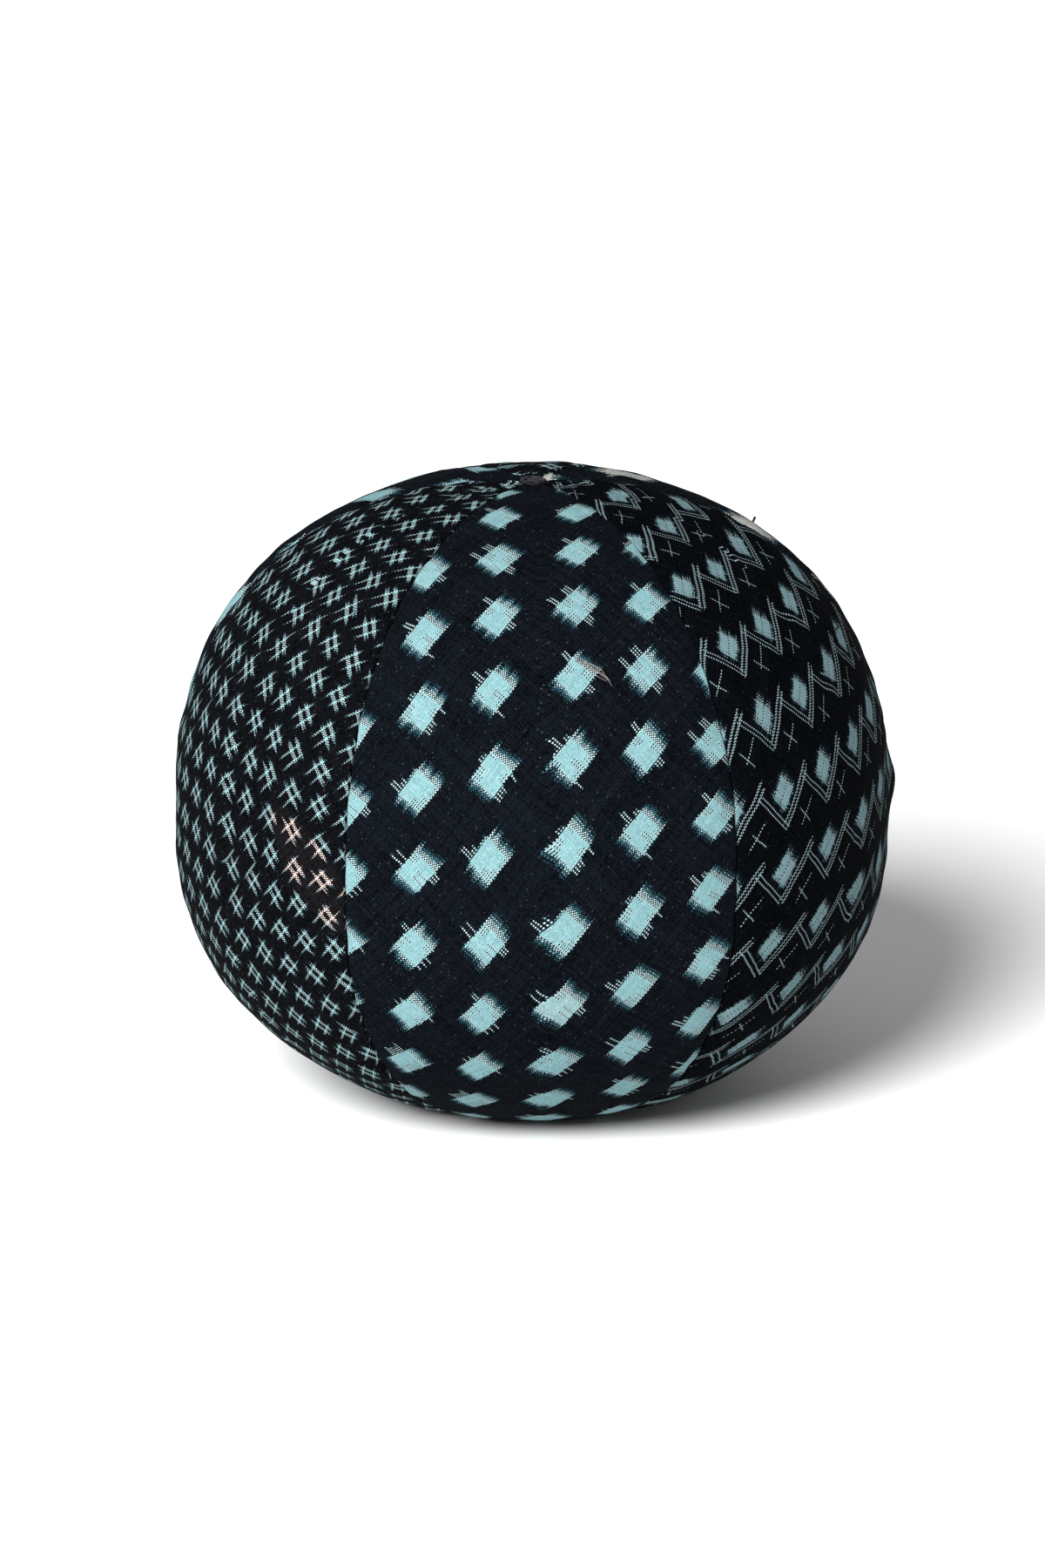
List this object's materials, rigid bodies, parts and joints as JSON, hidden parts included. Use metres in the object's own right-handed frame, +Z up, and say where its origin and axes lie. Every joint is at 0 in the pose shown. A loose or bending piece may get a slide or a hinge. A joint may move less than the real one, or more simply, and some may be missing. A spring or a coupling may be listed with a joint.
{
  "type": "juggling ball",
  "caption": "Seed-filled juggling ball sewn from patchwork cloth gores, settled on a flattened base.",
  "frame": {"origin": "centre of the flattened base, on the surface the ball rests on", "axes": "+Z up through both poles where the gores meet; -Y faces the viewer, through the middle of the front gore; +X to the viewer's right"},
  "size_m": [0.08, 0.08, 0.07],
  "materials": {
    "navy_square_ikat": "matte plain-weave cotton, indigo navy with aqua ikat squares",
    "navy_zigzag_ikat": "matte plain-weave cotton, blue-black with aqua ikat squares, double lines and crosses",
    "pale_square_ikat": "matte plain-weave cotton, navy with pale undyed ikat squares",
    "black_hash_ikat": "matte plain-weave cotton, black with small aqua ikat well-frame marks",
    "sewing_thread": "black cotton sewing thread",
    "seed": "dry hulled seed, as millet"
  },
  "bodies": {
    "root": {"front_panel": "navy_square_ikat", "right_panel": "navy_zigzag_ikat", "rear_right_panel": "pale_square_ikat", "rear_panel": "black_hash_ikat", "rear_left_panel": "navy_square_ikat", "left_panel": "black_hash_ikat", "front_left_seam_thread": "sewing_thread", "front_right_seam_thread": "sewing_thread", "right_seam_thread": "sewing_thread", "rear_right_seam_thread": "sewing_thread", "rear_left_seam_thread_upper": "sewing_thread", "rear_left_seam_thread_lower": "sewing_thread", "left_seam_thread": "sewing_thread", "closing_ladder_stitch": "sewing_thread", "crown_tack": "sewing_thread", "base_tack": "sewing_thread", "seed_filling": "seed"}
  },
  "joints": []
}
